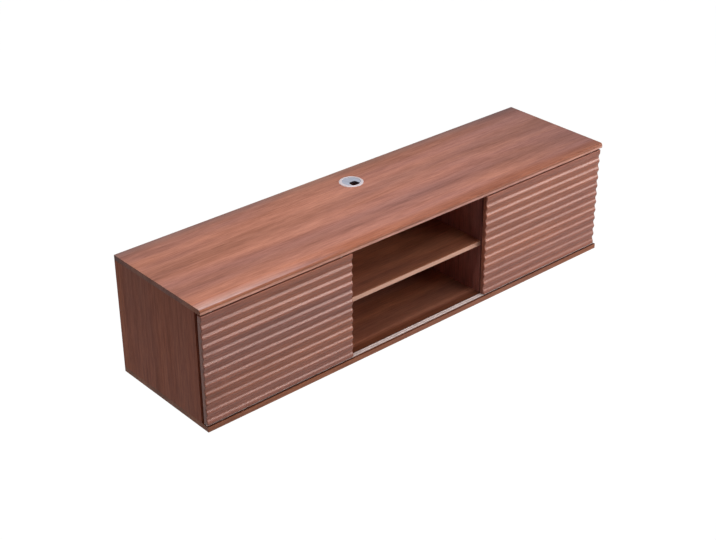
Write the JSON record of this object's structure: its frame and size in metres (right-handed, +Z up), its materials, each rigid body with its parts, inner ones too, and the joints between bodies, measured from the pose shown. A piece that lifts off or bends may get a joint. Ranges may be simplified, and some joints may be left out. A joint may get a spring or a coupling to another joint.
{
  "type": "floating media console",
  "caption": "Wall-hung media console: open centre bay with a shelf between two closed bays, whose horizontally rippled doors roll sideways on one aluminium track; cable grommet in the top.",
  "frame": {"origin": "on the wall plane at the cabinet's back face, in the middle of its width, on the centre line of the hanging rails that carry it", "axes": "+X to the right seen from the front, +Y into the wall, +Z up; the front faces -Y"},
  "size_m": [1.5, 0.385, 0.3622],
  "materials": {
    "walnut_board": "satin reddish walnut laminate with fine straight grain",
    "rippled_door": "satin walnut foil over a rippled board",
    "back_board": "matt printed hardboard",
    "track_aluminium": "satin anodised",
    "steel_fitting": "bright zinc-plated steel",
    "zinc_fitting": "die-cast zinc, matt",
    "pale_nylon": "natural nylon",
    "dark_nylon": "dark brown moulded nylon",
    "grommet_plastic": "satin silver-grey paint on moulded plastic"
  },
  "bodies": {
    "root": {"bottom_panel": "walnut_board", "top_panel": "walnut_board", "centre_shelf": "walnut_board", "left_side_panel": "walnut_board", "left_divider": "walnut_board", "right_divider": "walnut_board", "right_side_panel": "walnut_board", "left_hanging_rail": "walnut_board", "centre_hanging_rail": "walnut_board", "right_hanging_rail": "walnut_board", "left_back_panel": "back_board", "centre_back_panel": "back_board", "right_back_panel": "back_board", "bottom_track": "track_aluminium", "left_track_stop": "dark_nylon", "right_track_stop": "dark_nylon", "top_guide_channel": "track_aluminium", "grommet_sleeve": "grommet_plastic", "left_side_panel_front_cam": "zinc_fitting", "left_side_panel_rear_cam": "zinc_fitting", "left_divider_front_cam": "zinc_fitting", "left_divider_rear_cam": "zinc_fitting", "right_divider_front_cam": "zinc_fitting", "right_divider_rear_cam": "zinc_fitting", "right_side_panel_front_cam": "zinc_fitting", "right_side_panel_rear_cam": "zinc_fitting", "left_side_panel_front_screw": "steel_fitting", "left_side_panel_rear_screw": "steel_fitting", "left_divider_front_screw": "steel_fitting", "left_divider_rear_screw": "steel_fitting", "right_divider_front_screw": "steel_fitting", "right_divider_rear_screw": "steel_fitting", "right_side_panel_front_screw": "steel_fitting", "right_side_panel_rear_screw": "steel_fitting", "shelf_screw_left_front": "steel_fitting", "shelf_screw_left_rear": "steel_fitting", "shelf_screw_right_front": "steel_fitting", "shelf_screw_right_rear": "steel_fitting"},
    "left_door": {"left_door": "rippled_door", "left_door_left_carriage": "dark_nylon", "left_door_left_axle": "steel_fitting", "left_door_left_guide_stud": "pale_nylon", "left_door_right_carriage": "dark_nylon", "left_door_right_axle": "steel_fitting", "left_door_right_guide_stud": "pale_nylon"},
    "left_door_left_wheel": {"left_door_left_wheel": "pale_nylon"},
    "left_door_right_wheel": {"left_door_right_wheel": "pale_nylon"},
    "right_door": {"right_door": "rippled_door", "right_door_left_carriage": "dark_nylon", "right_door_left_axle": "steel_fitting", "right_door_left_guide_stud": "pale_nylon", "right_door_right_carriage": "dark_nylon", "right_door_right_axle": "steel_fitting", "right_door_right_guide_stud": "pale_nylon"},
    "right_door_left_wheel": {"right_door_left_wheel": "pale_nylon"},
    "right_door_right_wheel": {"right_door_right_wheel": "pale_nylon"},
    "grommet_cap": {"grommet_cap": "grommet_plastic"}
  },
  "joints": [
    {"name": "left_door_slide", "type": "slide", "parent": "root", "child": "left_door", "axis": [1, 0, 0], "range_m": [0, 0.253]},
    {"name": "left_door_left_wheel_turn", "type": "hinge", "parent": "left_door", "child": "left_door_left_wheel", "pos_m": [-0.715, -0.371, -0.2875], "axis": [0, 1, 0], "continuous": true},
    {"name": "left_door_right_wheel_turn", "type": "hinge", "parent": "left_door", "child": "left_door_right_wheel", "pos_m": [-0.293, -0.371, -0.2875], "axis": [0, 1, 0], "continuous": true},
    {"name": "right_door_slide", "type": "slide", "parent": "root", "child": "right_door", "axis": [1, 0, 0], "range_m": [-0.249, 0.008]},
    {"name": "right_door_left_wheel_turn", "type": "hinge", "parent": "right_door", "child": "right_door_left_wheel", "pos_m": [0.285, -0.371, -0.2875], "axis": [0, 1, 0], "continuous": true},
    {"name": "right_door_right_wheel_turn", "type": "hinge", "parent": "right_door", "child": "right_door_right_wheel", "pos_m": [0.707, -0.371, -0.2875], "axis": [0, 1, 0], "continuous": true},
    {"name": "grommet_cap_turn", "type": "hinge", "parent": "root", "child": "grommet_cap", "pos_m": [0, -0.079, 0.045], "axis": [0, 0, 1], "continuous": true}
  ],
  "couplings": [
    {"joint": "left_door_left_wheel_turn", "follows": "left_door_slide", "rad_per_m": 90.909},
    {"joint": "left_door_right_wheel_turn", "follows": "left_door_slide", "rad_per_m": 90.909},
    {"joint": "right_door_left_wheel_turn", "follows": "right_door_slide", "rad_per_m": 90.909},
    {"joint": "right_door_right_wheel_turn", "follows": "right_door_slide", "rad_per_m": 90.909}
  ]
}
